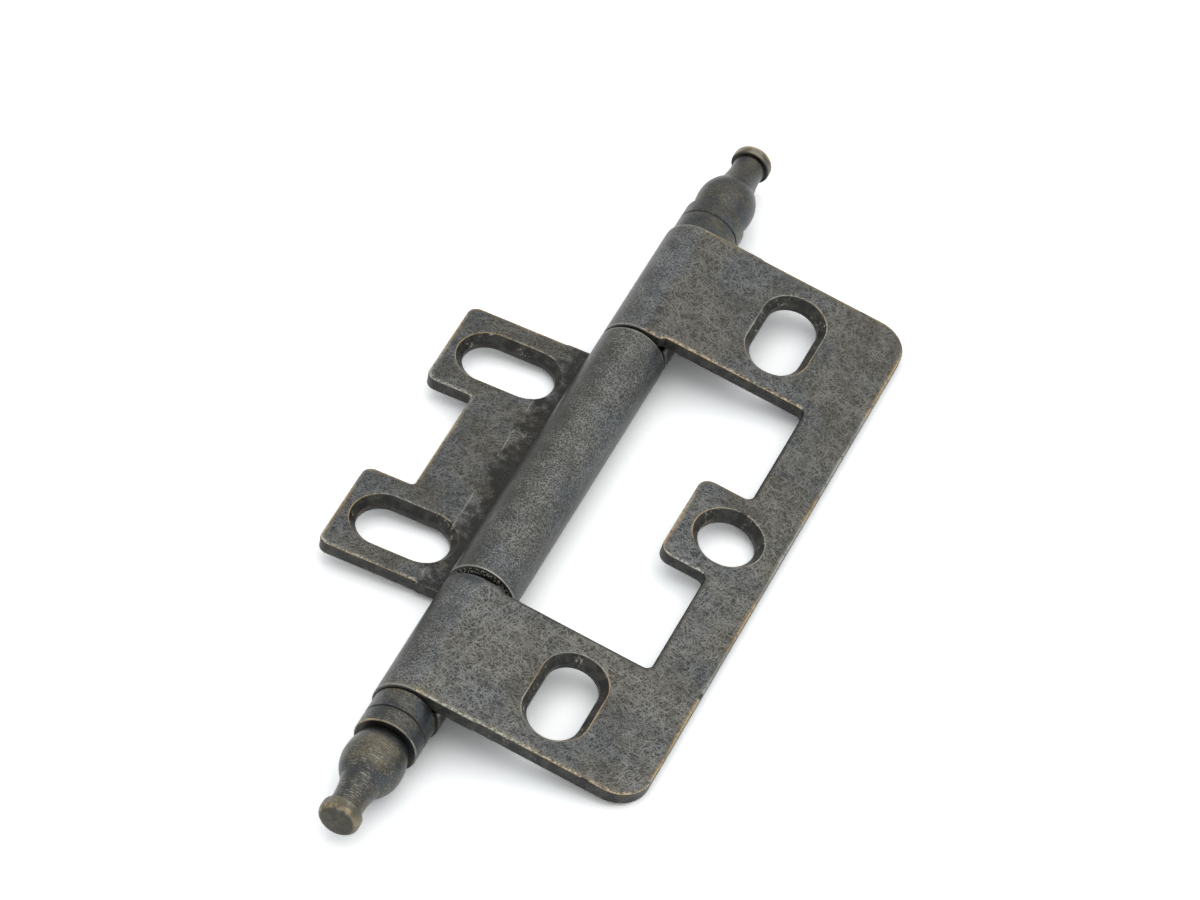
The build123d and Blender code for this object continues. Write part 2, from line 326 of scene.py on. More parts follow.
    def metal(self, colour, roughness, height, relief, gloss=1.0):
        """Ends the tree: bare metal where `gloss` is 1 and duller below, with `height` as a bump."""
        bump = self.node("ShaderNodeBump")
        self.feed(bump.inputs["Height"], height)
        self.feed(bump.inputs["Distance"], relief)
        surface = self.node("ShaderNodeBsdfPrincipled")
        self.feed(surface.inputs["Base Color"], colour)
        self.feed(surface.inputs["Metallic"], gloss)
        self.feed(surface.inputs["Roughness"], roughness)
        self.feed(surface.inputs["Specular IOR Level"], DULL_GLOSS)
        self.feed(surface.inputs["Normal"], bump.outputs["Normal"])
        output = self.node("ShaderNodeOutputMaterial")
        self.feed(output.inputs["Surface"], surface.outputs["BSDF"])


class AntiquedSheet(Shader):
    """The finish of a leaf: pale strokes on a dark ground, dark walls, and edges worn bright with painted
    highlight on them, with painted shade and reflection in places.

    `out` points from the pin's axis to the leaf's sheet, and `half` is how far the leaf's ends are
    from the hinge's middle. The other arguments say how this leaf is worn and where light and shade are painted on
    it:

    roll_strokes: where on the roll the strokes begin, are full, fade and end, as reaches in mm
    reflection_turn: the reach in mm about which the roll's tint turns from warm to a painted bluish reflection
    wear_and_light: how strongly the strokes show at the leaf's lower and at its upper end; the lower numbers paint
    shade
    end_wear_and_light: how strongly the ends of the roll are worn, and painted light on them
    end_rub: how strongly the borders at the leaf's two ends are rubbed
    """

    # Shares of the barrel's radius: the sheet lies above one, its face on the pin's side below the other
    SHEET_ABOVE = 0.55
    INNER_FACE_BELOW = 0.80

    # How far a normal leans along the pin at the end of the roll and on the rim beside it
    ROLL_END = (0.62, 0.86)
    ROLL_RIM = (0.22, 0.36, 0.50, 0.66)

    # How far a normal leans out of the sheet at a wall and on the rim beside it
    WALL = (0.66, 0.78)
    LEAF_RIM = (0.70, 0.75, 0.94, 0.985)

    # How far the turned normal of a lower edge leans up the pin, and that of an upper edge
    LOWER_SIDE = (-0.45, -0.12)
    LOWER_WALL = (-0.60, -0.48)
    UPPER_SIDE = (0.12, 0.30)
    UPPER_WALL = (0.48, 0.60)

    # Places in mm
    ROLL_RIM_FADES = (-13.0, -9.5)  # reaches, towards the end of the roll
    BRUSHED_FROM = (-2.0, 1.0)  # reaches, where the roll passes into the leaf
    STRAP_ENDS = (-16.0, 16.0)  # up the pin
    END_BAND_FADES = (-10.0, 10.0)  # up the pin
    SPECKLED_RING = (2.30, 2.50, 2.88, 3.02)  # radii on the end of the roll

    # Patterns
    STROKE_TURNS = (8, 35, 62, 97, 124, 158)  # degrees
    STROKE_STRETCH = (8.0, 1.0, 2.0)  # eight times as long as wide
    STROKE_BEND = 0.2  # mm by which the strokes are bent
    BRUSHED = (0.52, 0.38)  # how much strokes and grain count on the leaf
    SPECKLED = (0.25, 0.80)  # and on the roll
    FRAY = 3.0  # mm by which the border of the smooth roll strays
    RAGGED = 8.0  # mm by which the border of the darker strip beside the roll strays

    def __init__(self, name, out, finish, half, roll_strokes, reflection_turn, wear_and_light, end_wear_and_light, end_rub):
        super().__init__(name)
        self.finish = finish
        self.press_line = finish.press_line * TO_MM
        self.unroll(out)
        self.find_faces(out, end_wear_and_light)
        self.draw_patterns()
        self.border, turned = self.edge(finish.rub, 8)
        self.edge_lean = self.vector("DOT_PRODUCT", turned, Y_AXIS)
        self.lower_side = self.fall(self.edge_lean, *self.LOWER_SIDE)
        self.from_end = self.maths("SUBTRACT", half * TO_MM, self.maths("ABSOLUTE", self.up_pin))
        self.from_window_end = self.distance(self.up_pin, -finish.window_end * TO_MM)
        self.from_line = self.distance(self.reach, self.press_line)

        colour = self.patina(wear_and_light)
        colour = self.rubbed_borders(colour, end_rub)
        colour = self.tinted(colour, reflection_turn)
        colour = self.smooth_and_shaded_roll(colour, roll_strokes)
        colour = self.pressed_strip(colour)
        colour = self.walls(colour, end_wear_and_light)
        colour = self.worn_and_highlit_edges(colour, end_rub)
        self.finish_metal(colour)

    def unroll(self, out):
        """The place on the flat sheet before it was rolled, in mm, and masks of the leaf and the roll.

        The reach runs from the barrel to the leaf's edge and is negative on the roll. The place's
        three numbers are the reach, the way up the pin and the height over the pin's axis.
        """
        place, self.normal = self.coordinates()
        far = self.vector("DOT_PRODUCT", place, Y_AXIS.cross(out))
        high = self.vector("DOT_PRODUCT", place, out)
        self.up_pin = self.vector("DOT_PRODUCT", place, Y_AXIS)
        radius = self.length(far, high)
        turn = self.maths("ARCTAN2", far, high)
        turn = self.maths("SUBTRACT", turn, self.product(self.maths("GREATER_THAN", turn, 0.0), math.tau))
        above = self.maths("GREATER_THAN", high, self.SHEET_ABOVE * BARREL_MM)
        self.on_leaf = self.product(self.maths("GREATER_THAN", far, 0.0), above)
        self.on_roll = self.invert(self.on_leaf)
        self.reach = self.blend(self.on_leaf, self.product(turn, BARREL_MM), far)
        self.height = self.blend(self.on_leaf, radius, high)
        self.place = self.joined(self.reach, self.up_pin, self.height)

    def find_faces(self, out, end_wear_and_light):
        """Masks of the walls, of the rims beside them and of the sheet's face on the pin's side."""
        self.facing = self.lean(self.normal, out)
        endwise = self.lean(self.normal, Y_AXIS)
        leaf_wall = self.fall(self.facing, *self.WALL)
        self.wall = self.blend(self.on_leaf, self.ramp(endwise, *self.ROLL_END), leaf_wall)
        # The rim beside the roll's end is a worn and painted highlight line, weaker towards the end of the roll
        roll_rim = self.product(
            self.band(endwise, *self.ROLL_RIM),
            end_wear_and_light,
            self.ramp(self.reach, *self.ROLL_RIM_FADES, 0.25, 1.0),
        )
        self.rim = self.blend(self.on_leaf, roll_rim, self.band(self.facing, *self.LEAF_RIM))
        below = self.maths("LESS_THAN", self.height, self.INNER_FACE_BELOW * BARREL_MM)
        self.inner_face = self.product(self.on_leaf, below)

    def stroke(self, place, turn):
        """Short thin strokes, all turned by `turn` degrees."""
        turned = self.node("ShaderNodeVectorRotate", rotation_type="Z_AXIS")
        self.feed(turned.inputs["Vector"], place)
        self.feed(turned.inputs["Angle"], math.radians(turn))
        place, width = turned.outputs["Vector"], self.finish.stroke
        run = self.noise(place, width, 0.0, stretch=self.STROKE_STRETCH, shift=turn / 9)
        return self.ramp(run, 0.62, 0.69)

    def draw_patterns(self):
        """Strokes every way, two fine grains, and light and dark patches."""
        finish = self.finish
        bend = self.noise(self.place, 8.0 * finish.stroke, 1.0, shift=4.9, output="Color")
        bent = self.vector("MULTIPLY_ADD", bend, (self.STROKE_BEND,) * 3, self.place)
        self.strokes = self.largest(*(self.stroke(bent, turn) for turn in self.STROKE_TURNS))
        self.grit = self.noise(self.place, 0.8 * finish.stroke, 2.0, 0.7, shift=1.7)
        self.grain = self.noise(self.place, 1.4 * finish.stroke, 2.0, 0.6, shift=21.3)
        self.mottle = self.noise(self.place, finish.mottle, 4.0, 0.62, shift=11.7)
        self.stretches = self.noise(self.place, 2.0 * finish.mottle, 1.0, shift=2.2)

    def patina(self, wear_and_light):
        """Mostly strokes on the leaf, mostly grain on the roll, and both weaker in patches."""
        finish = self.finish
        strokes, grain = self.BRUSHED
        grain = self.ramp(self.grain, 0.38, 0.62, 0.0, grain)
        brushed = self.maths("ADD", self.product(self.strokes, strokes), grain)
        strokes, grain = self.SPECKLED
        grain = self.ramp(self.grain, 0.44, 0.60, 0.0, grain)
        speckled = self.maths("ADD", self.product(self.strokes, strokes), grain)
        tone = self.blend(self.ramp(self.reach, *self.BRUSHED_FROM), speckled, brushed)
        tone = self.maths("MULTIPLY", tone, self.ramp(self.mottle, 0.32, 0.62, 0.66, 1.0), clamp=True)
        blotch = self.noise(self.place, 2.4 * finish.mottle, 5.0, 0.68, shift=27.1)
        tone = self.product(tone, self.ramp(blotch, 0.41, 0.51, 0.70, 1.0))
        # Painted shade: weaker strokes darken the outer leaf's upper strap and the whole inner leaf
        along_leaf = self.ramp(self.up_pin, *self.STRAP_ENDS, *wear_and_light)
        self.tone = self.product(tone, self.blend(self.on_leaf, 1.0, along_leaf))
        return self.mix(self.tone, finish.dark, finish.worn)

    def rubbed_borders(self, colour, end_rub):
        """A smooth border inside each edge, tan at the leaf's ends, and painted shade on the roll's end at the gap
        by the window.
        """
        finish = self.finish
        smoothed = self.ramp(self.mottle, 0.30, 0.60, 0.50, 0.88)
        colour = self.mix(self.product(self.ramp(self.border, 0.01, 0.14), smoothed), colour, finish.rubbed)
        end_band = self.product(
            self.fall(self.from_end, 0.20, 0.95, end_rub),
            self.ramp(self.grain, 0.42, 0.56, 0.15, 1.0),
            self.ramp(self.up_pin, *self.END_BAND_FADES, 1.0, 0.4),
        )
        colour = self.mix(end_band, colour, finish.tan)
        # Painted shade: the roll's end beside the gap at the window's lower end is darkened, as if in the gap's
        # shadow
        self.window_shade = self.product(self.fall(self.from_window_end, 0.10, 0.60, 0.65), self.on_roll)
        return self.mix(self.window_shade, colour, finish.pressed_and_shade)

    def tinted(self, colour, reflection_turn):
        """Warm and bluish areas, and a roll whose tint, scaled up, turns from warm to a painted bluish reflection.
        """
        finish = self.finish
        drift = self.noise(self.place, finish.drift, 2.0, 0.5, shift=5.9)
        # Painted reflection: the roll's tint turns bluish past reflection_turn, standing in for the floor's
        # reflection
        turn = self.product(self.maths("SUBTRACT", reflection_turn, self.reach), 0.05, self.on_roll)
        drift = self.maths("ADD", drift, turn)
        warmth = self.product(self.ramp(drift, 0.36, 0.64), self.blend(self.on_leaf, 0.5, 1.0))
        tint = self.mix(warmth, finish.cool_tint_and_reflection, finish.warm)
        tint = self.vector("SCALE", tint, scale=self.blend(self.on_leaf, 1.35, 1.0))
        return self.mix(self.blend(self.on_leaf, 0.38, 0.32), colour, tint)

    def smooth_and_shaded_roll(self, colour, roll_strokes):
        """The rest of the roll keeps its smooth patina, up to a frayed border, in a darker colour that also paints
        shade on that side of the barrel.
        """
        frays = [self.product(pattern, self.FRAY) for pattern in (self.mottle, self.grain)]
        frayed = self.maths("SUBTRACT", self.maths("ADD", *frays), self.FRAY)
        frayed = self.maths("ADD", self.reach, frayed)
        smooth = self.invert(self.largest(self.on_leaf, self.band(frayed, *roll_strokes)))
        self.smooth = self.product(smooth, self.ramp(self.grit, 0.46, 0.70, 0.96, 0.78))
        return self.mix(self.smooth, colour, self.finish.smooth)

    def pressed_strip(self, colour):
        """A darker strip beside the roll on the sheet's inner face, with a ragged border, partly patina left by
        pressing and partly painted shade from the barrel.
        """
        ragged = self.noise(self.place, 0.8 * self.finish.mottle, 4.0, 0.65, shift=31.2)
        ragged = self.maths("ADD", self.reach, self.product(ragged, self.RAGGED))
        pressed_and_shade = self.product(
            self.inner_face,
            self.fall(ragged, self.press_line + 2.4, self.press_line + 4.4),
            self.ramp(self.grit, 0.50, 0.72, 0.88, 0.62),
        )
        self.calm = self.largest(self.smooth, pressed_and_shade)
        return self.mix(pressed_and_shade, colour, self.finish.pressed_and_shade)

    def walls(self, colour, end_wear_and_light):
        """Dark walls with a few larger glints, and ends of the roll speckled with painted light."""
        finish = self.finish
        cloud = self.noise(self.place, 0.5 * finish.mottle, 3.0, 0.55, shift=6.6)
        leaf_wall = self.mix(self.ramp(cloud, 0.40, 0.62), finish.pressed_and_shade, finish.wall)
        glint = self.noise(self.place, 3.0 * finish.stroke, 4.0, 0.75, shift=9.4)
        glint = self.product(
            self.ramp(glint, 0.54, 0.64),
            self.ramp(self.mottle, 0.51, 0.62, 0.0, 0.85),
            self.ramp(self.facing, 0.20, 0.50, 0.35, 1.0),
        )
        glint_colour = self.mix(self.ramp(cloud, 0.38, 0.50), finish.tan, finish.silver)
        leaf_wall = self.mix(glint, leaf_wall, glint_colour)
        # Painted light: bright specks on the roll's end faces, which lie in the gaps' shade
        specks = self.product(
            self.ramp(self.grain, 0.50, 0.58, 0.0, end_wear_and_light), self.band(self.height, *self.SPECKLED_RING)
        )
        roll_end = self.mix(specks, finish.pressed_and_shade, finish.silver)
        return self.mix(self.wall, colour, self.mix(self.on_leaf, roll_end, leaf_wall))

    def bright_lines(self):
        """Edges worn through, with painted highlight on them, in broken lines."""
        finish = self.finish
        breaks = self.noise(self.place, 0.16 * finish.mottle, 3.0, 0.6, shift=14.2)
        broken = self.product(self.ramp(self.stretches, 0.36, 0.54, 0.55, 1.0), self.ramp(breaks, 0.28, 0.50))
        broken = self.largest(broken, self.maths("SUBTRACT", 0.75, self.on_leaf))
        at_line = self.product(self.inner_face, self.fall(self.from_line, 0.35, 0.55))
        shaded = self.largest(self.product(self.wall, 0.7), at_line)
        turned = self.edge(finish.edge_wear_and_highlight)[0]
        sharp = self.largest(self.ramp(turned, 0.008, 0.045), self.ramp(self.border, 0.20, 0.26))
        sharp = self.largest(self.product(sharp, self.invert(shaded)), self.rim)
        return self.maths("MULTIPLY", sharp, broken, clamp=True)

    def thinned_lines(self):
        """Where those worn and highlit lines are thinner, by which way an edge faces: along the lower edges,
        inside the upper ones and in the painted shade by the window.
        """
        at_end = self.fall(self.from_end, 0.20, 0.30)
        square = self.largest(self.fall(self.edge_lean, *self.LOWER_WALL), at_end)
        lower = self.product(self.lower_side, self.on_leaf, square, 0.9)
        upper = self.product(
            self.ramp(self.edge_lean, *self.UPPER_SIDE, 0.0, 0.7), self.fall(self.edge_lean, *self.UPPER_WALL)
        )
        return self.largest(lower, upper, self.maths("MULTIPLY", self.window_shade, 1.5, clamp=True))

    def flecks(self):
        """Ragged bright flecks beside the edges, most of them on the lower side."""
        fleck = self.noise(self.place, 2.2 * self.finish.stroke, 3.0, 0.70, shift=7.7)
        few = self.ramp(self.stretches, 0.52, 0.60, 0.0, 0.5)
        many = self.ramp(self.stretches, 0.26, 0.42, 0.25, 1.0)
        return self.product(
            self.ramp(fleck, 0.47, 0.55),
            self.ramp(self.border, 0.05, 0.13),
            self.blend(self.lower_side, few, many),
            self.product(self.on_leaf, self.invert(self.wall)),
        )

    def worn_and_highlit_edges(self, colour, end_rub):
        """Bright lines, worn and painted as highlight, and flecks, brassy on some stretches and silvery on others,
        and a thin press line.
        """
        finish = self.finish
        from_window_edge = self.distance(self.reach, finish.window_edge * TO_MM)
        window_shade = [self.fall(away, 0.3, 0.4) for away in (from_window_edge, self.from_window_end)]
        sheltered_and_shaded = self.product(self.on_leaf, self.largest(*window_shade))
        before_line = self.fall(self.reach, self.press_line, self.press_line + 0.3, 0.85)
        in_strip = self.product(self.inner_face, before_line)
        fleck = self.flecks()
        # Bright lines: worn metal and painted highlight on the rounded edges
        bright = self.product(self.bright_lines(), self.invert(self.thinned_lines()))
        bright = self.product(self.largest(bright, fleck), self.invert(in_strip), self.invert(sheltered_and_shaded))
        self.bright = bright

        # Painted shade: a dark line along the rounded edges of the window and at its lower end
        window_edge_shade = self.largest(self.fall(self.facing, 0.95, 0.995), self.ramp(self.border, 0.15, 0.20))
        colour = self.mix(self.product(sheltered_and_shaded, window_edge_shade), colour, finish.pressed_and_shade)
        hue = self.noise(self.place, 1.5 * finish.drift, 1.0, shift=17.5)
        hue = self.product(self.ramp(hue, 0.44, 0.56), self.fall(self.edge_lean, 0.12, 0.40))
        fleck_hue = self.ramp(fleck, 0.0, 0.3, 0.0, 0.95 - 0.40 * end_rub)
        hue = self.largest(hue, fleck_hue, self.on_roll)
        colour = self.mix(bright, colour, self.mix(hue, finish.bare, finish.silver))
        line = self.product(self.fall(self.from_line, 0.02, 0.07), self.inner_face)
        line = self.product(line, self.ramp(self.mottle, 0.50, 0.60, 0.0, 0.35))
        return self.mix(line, colour, finish.silver)

    def finish_metal(self, colour):
        """Smoother where it is worn, less relief where it is calm, and duller on the walls."""
        finish = self.finish
        roughness = self.maths("SUBTRACT", finish.roughness, self.product(self.tone, 0.10))
        roughness = self.blend(self.bright, roughness, 0.32)
        bumps = self.maths("ADD", self.strokes, self.product(self.grit, 0.7))
        bumps = self.product(bumps, self.invert(self.product(self.calm, 0.8)))
        gloss = self.invert(self.product(self.wall, self.blend(self.on_leaf, 0.9, 0.8)))
        self.metal(colour, roughness, bumps, finish.relief, gloss)


class TurnedMetal(Shader):
    """The finish of a finial: rings round the axis, rubbed patches, dark hollows and worn rims, with painted
    light, reflection and shade in places.

    `foot` is how far the finial's foot is from the middle of the pin, and `rubbing` how strongly
    its turning marks are rubbed bright, from 0 to 1.
    """

    UNROLLED_AT = 2.4  # mm, the radius whose length round the axis is kept

    # Places in mm round the axis, from the top of the finial; the rubbed and brassy sides also paint light on the
    # top, and the reflection side paints a bluish reflection
    RUBBED_AND_LIT_SIDE = (-2.6, -1.3, 1.7, 2.9)
    BRASSY_AND_LIT_SIDE = (-1.7, -0.2, 1.3, 2.7)
    REFLECTION_SIDE = (0.2, 2.2)
    BARE_SIDE = (-1.0, 1.6)

    # Places in mm along the finial, from its foot or from the groove, the ledge or the button
    BULB = (4.9, 6.1, 7.6, 8.7)
    FOOT_GAP = (0.05, 0.20)
    GROOVE = (0.06, 0.15)
    GROOVE_SIDES = (0.16, 0.32)
    LEDGE_RIM = (-0.12, -0.09, -0.06, -0.02)
    BUTTON_UNDERSIDE = (-0.25, -0.05, 0.06, 0.2)
    BUTTON_SIDE = (0.05, 0.25)
    BUTTON_FAR_RIM = (0.60, 0.85)

    # Radii in mm: inside the collar's rim, on that rim, and inside the button's rim
    IN_COLLAR = (2.70, 2.86)
    ON_COLLAR = (2.78, 2.86)
    IN_BUTTON = (1.74, 1.86)

    def __init__(self, name, finish, foot, rubbing):
        super().__init__(name)
        self.finish = finish
        self.rubbing = rubbing
        self.unroll(foot)
        self.draw_patterns()
        self.ledge, self.button = finish.ledge * TO_MM, finish.button * TO_MM
        self.on_button = self.ramp(self.up, *self.beyond(self.button, self.BUTTON_SIDE))

        colour = self.patina()
        colour = self.brassy_patches(colour)
        colour = self.hollows(colour)
        colour = self.button_face(colour)
        colour = self.worn_and_highlit_rims(colour)
        colour = self.button_edge(colour)
        roughness = self.maths("SUBTRACT", finish.roughness, self.product(self.tone, 0.12))
        height = self.maths("ADD", self.rings, self.product(self.grains, 0.6))
        self.metal(colour, roughness, height, finish.relief)

    @staticmethod
    def beyond(place, steps):
        return tuple(place + step for step in steps)

    def unroll(self, foot):
        """The place in mm, as the way round the axis, the way up the pin and the radius."""
        place, normal = self.coordinates()
        parts = self.node("ShaderNodeSeparateXYZ")
        self.feed(parts.inputs[0], place)
        x, self.up_pin, z = parts.outputs
        self.radius = self.length(x, z)
        self.around = self.product(self.maths("ARCTAN2", x, z), self.UNROLLED_AT)
        self.place = self.joined(self.around, self.up_pin, self.radius)
        self.up = self.maths("SUBTRACT", self.maths("ABSOLUTE", self.up_pin), foot * TO_MM)
        self.endwise = self.lean(normal, Y_AXIS)

    def draw_patterns(self):
        """Rings, fine grains, clouds, rubbed patches and the breaks of the worn rims."""
        place, mark, patch = self.place, self.finish.mark, self.finish.patch
        self.rings = self.noise(place, mark, 1.0, 0.6, stretch=(8.0, 0.9, 4.0))
        self.grains = self.noise(place, mark, 2.0, 0.7, stretch=(1.3, 1.0, 1.3), shift=4.4)
        self.clouds = self.noise(place, patch, 4.0, 0.6, stretch=(1.3, 1.0, 1.3), shift=8.8)
        self.brassy = self.noise(place, 1.3 * patch, 3.0, 0.6, stretch=(1.4, 0.9, 1.3), shift=13.1)
        self.breaks = self.noise(place, 0.5 * patch, 3.0, 0.6, stretch=(2.0, 1.0, 1.0), shift=2.2)
        self.broken = self.ramp(self.breaks, 0.40, 0.58, 0.12, 1.0)

    def turning_marks(self):
        """Crisp dashes round the axis where the finial is rubbed, most on its top, where they also paint light."""
        finish = self.finish
        rubbed = self.product(self.ramp(self.clouds, 0.42, 0.55), self.band(self.around, *self.RUBBED_AND_LIT_SIDE))
        waver = self.maths("ADD", self.up_pin, self.product(self.clouds, 0.3))
        ridges = self.maths("SINE", self.product(waver, math.tau / (finish.pitch * TO_MM)))
        dashes = self.noise(self.place, finish.mark, 1.0, 0.6, stretch=(3.5, 1.6, 4.0), shift=19.6)
        dashes = self.product(self.ramp(dashes, 0.48, 0.58), self.ramp(ridges, 0.0, 0.8))
        on_collar = self.ramp(self.up, *self.beyond(self.ledge, (0.0, 0.8)), 0.4, 1.0)
        return self.product(dashes, 0.8 * self.rubbing, rubbed, on_collar)

    def patina(self):
        """A dark, clouded patina, with a painted bluish reflection on one side, and fine grains and turning marks.
        """
        finish, rubbing = self.finish, self.rubbing
        specks = self.ramp(self.clouds, 0.36, 0.58, 0.10 + 0.08 * rubbing, 0.24 + 0.16 * rubbing)
        specks = self.product(self.ramp(self.grains, 0.46, 0.66), specks)
        self.tone = self.largest(self.turning_marks(), specks)
        colour = self.mix(self.ramp(self.clouds, 0.36, 0.62), finish.dark, finish.brown)
        cool_tint_and_reflection = self.product(
            self.ramp(self.around, *self.REFLECTION_SIDE),
            self.fall(self.clouds, 0.40, 0.56),
            self.ramp(self.up, *self.beyond(self.ledge, (0.0, 1.0)), 1.0, 0.4),
        )
        colour = self.mix(cool_tint_and_reflection, colour, finish.cool_tint_and_reflection)
        # Brassy patch on the bulb's top: rubbed metal and painted light
        on_bulb = self.product(
            self.band(self.up, *self.BULB),
            self.band(self.around, *self.BRASSY_AND_LIT_SIDE),
            self.ramp(self.brassy, 0.36, 0.56, 0.20 * rubbing, 0.50 * rubbing),
        )
        colour = self.mix(on_bulb, colour, finish.brassy)
        return self.mix(self.tone, colour, finish.worn)

    def brassy_patches(self, colour):
        """Patches rubbed thin, more of them on the button, whose side is painted pale as a highlight."""
        finish = self.finish
        tarnish = self.ramp(self.grains, 0.34, 0.62, 0.05, 0.20 + 0.30 * self.rubbing)
        colour = self.mix(self.product(self.ramp(self.brassy, 0.50, 0.64), tarnish), colour, finish.brassy)
        on_button = self.product(self.on_button, self.ramp(self.brassy, 0.40, 0.60, 0.25, 0.75))
        colour = self.mix(on_button, colour, finish.brassy)
        # Painted highlight: a pale streak round the button's side
        side = self.product(self.on_button, self.fall(self.endwise, 0.25, 0.50))
        side = self.product(side, self.ramp(self.clouds, 0.44, 0.58, 0.0, 0.65))
        return self.mix(side, colour, finish.worn)

    def hollows(self, colour):
        """Dark patina in the hollows, and painted shade: the seam at the foot, the groove, the ledge under the
        bulb with a painted shadow on the bulb's base, and the button's underside.
        """
        from_groove = self.distance(self.up, self.finish.groove * TO_MM)
        groove = self.fall(from_groove, *self.GROOVE, 0.4 + 0.6 * self.rubbing)
        groove = self.largest(groove, self.fall(self.up, *self.FOOT_GAP, 0.9))
        dark_end = 0.98 - 0.88 * self.rubbing  # mm from the ledge that the painted shadow on the bulb's base reaches, further up on the little rubbed finial
        ledge = self.product(
            self.band(self.up, *self.beyond(self.ledge, (-0.10, -0.03, 0.02, dark_end))),
            self.fall(self.radius, *self.IN_COLLAR),
        )
        under = self.product(
            self.band(self.up, *self.beyond(self.button, self.BUTTON_UNDERSIDE)),
            self.fall(self.radius, *self.IN_BUTTON, 0.6),
        )
        self.sheltered_and_shaded = self.largest(groove, self.fall(from_groove, *self.GROOVE_SIDES), ledge, under)
        hollow_and_shade = self.largest(groove, self.product(ledge, 0.5), under)
        return self.mix(self.product(hollow_and_shade, 0.9), colour, self.finish.hollow_and_shade)

    def button_face(self, colour):
        """The button's end, which is clouded and dark."""
        face = self.product(self.on_button, self.ramp(self.endwise, 0.90, 0.985))
        face_colour = self.mix(
            self.ramp(self.clouds, 0.38, 0.60, 0.45, 1.0), self.finish.hollow_and_shade, self.finish.brown
        )
        return self.mix(self.product(face, 0.8), colour, face_colour)

    def worn_and_highlit_rims(self, colour):
        """Rims worn through, with painted highlight on them, in broken lines, brassy on one side and pale on the
        other.
        """
        finish, share = self.finish, self.rubbing ** 2
        sharp = self.ramp(self.edge(finish.edge_wear_and_highlight)[0], 0.03, 0.16)
        sharp = self.product(sharp, self.maths("SUBTRACT", 1.0, self.sheltered_and_shaded, clamp=True), 0.6)
        at_rim = self.band(self.up, *self.beyond(self.ledge, self.LEDGE_RIM))
        at_rim = self.product(at_rim, self.ramp(self.radius, *self.ON_COLLAR), 0.75)
        bright = self.maths("MULTIPLY", self.largest(sharp, at_rim), self.broken, clamp=True)
        hue = self.ramp(self.around, *self.BARE_SIDE, share, 0.3 * share)
        return self.mix(bright, colour, self.mix(hue, finish.worn, finish.bare))

    def button_edge(self, colour):
        """The button's rubbed edge, and its far rim where the finial is little rubbed elsewhere."""
        rubbing = self.rubbing
        side = 0.24 * rubbing  # how much further from the button's side the rubbed edge begins
        edge = self.product(
            self.on_button,
            self.band(self.endwise, 0.02 + side, 0.20 + side, 0.78, 0.92),
            self.ramp(self.clouds, 0.40, 0.56, 0.45 - 0.30 * rubbing, 0.90 - 0.40 * rubbing),
            self.broken,
        )
        far_rim = self.ramp(self.up, *self.beyond(self.button, self.BUTTON_FAR_RIM), 0.0, 1.0 - rubbing)
        far_rim = self.product(far_rim, self.ramp(self.breaks, 0.36, 0.50, 0.4, 1.0))
        return self.mix(self.largest(edge, far_rim), colour, self.finish.bare)


class DrawnSteel(Shader):
    """The finish of the pin: drawn wire with fine lines along it."""

    LINE_STRETCH = (1.0, 12.0, 1.0)  # the lines run along the pin
    LINE_DEPTH = 0.05  # a share of the lines' width

    def __init__(self, name, finish):
        super().__init__(name)
        place = self.vector("SCALE", self.node("ShaderNodeTexCoord").outputs["Object"], scale=TO_MM)
        lines = self.noise(place, finish.line, 2.0, 0.6, stretch=self.LINE_STRETCH)
        dark = tuple(0.5 * c for c in finish.steel)
        colour = self.mix(self.ramp(lines, 0.35, 0.70), dark, finish.steel)
        self.metal(colour, finish.roughness, lines, self.LINE_DEPTH * finish.line)


def dress(node, shader):
    """Gives a piece its finish in all its material slots."""
    for place in frame["nodes"][node].material_slots:
        place.material = shader.material


# Operators


class HINGE_OT_outer_leaf(bpy.types.Operator):
    """Finish the outer leaf, which has the window, the tab and the two end knuckles"""

    bl_idname = "hinge.outer_leaf"
    bl_label = "Outer leaf"

    def execute(self, context):
        finish = context.scene.hinge.sheet
        out = -SEATS["outer_leaf_seat"]
        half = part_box("outer_leaf")[1].y
        dress("outer_leaf", AntiquedSheet(
            "antiqued_outer_leaf", out, finish, half, roll_strokes=(-3.6, -1.2, 50.0, 51.0), reflection_turn=-2.0,
            wear_and_light=(1.0, 0.80), end_wear_and_light=0.0, end_rub=1.0,
        ))
        return {"FINISHED"}


class HINGE_OT_inner_leaf(bpy.types.Operator):
    """Finish the inner leaf, which has the two lugs and the middle knuckle"""

    bl_idname = "hinge.inner_leaf"
    bl_label = "Inner leaf"

    def execute(self, context):
        finish = context.scene.hinge.sheet
        out = SEATS["inner_leaf_seat"]
        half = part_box("inner_leaf")[1].y
        dress("inner_leaf", AntiquedSheet(
            "antiqued_inner_leaf", out, finish, half, roll_strokes=(-12.4, -9.8, -6.6, -5.2), reflection_turn=-8.0,
            wear_and_light=(0.76, 0.72), end_wear_and_light=1.0, end_rub=0.0,
        ))
        return {"FINISHED"}


class HINGE_OT_finials(bpy.types.Operator):
    """Finish the two turned finials"""

    bl_idname = "hinge.finials"
    bl_label = "Finials"

    def execute(self, context):
        finish = context.scene.hinge.turning
        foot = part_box("upper_finial")[0].y
        dress("upper_finial", TurnedMetal("antiqued_upper_finial", finish, foot, rubbing=0.25))
        dress("lower_finial", TurnedMetal("antiqued_lower_finial", finish, foot, rubbing=1.0))
        return {"FINISHED"}


class HINGE_OT_pin(bpy.types.Operator):
    """Finish the hinge pin"""

    bl_idname = "hinge.pin"
    bl_label = "Pin"

    def execute(self, context):
        dress("hinge_pin", DrawnSteel("drawn_pin", context.scene.hinge.pin))
        return {"FINISHED"}


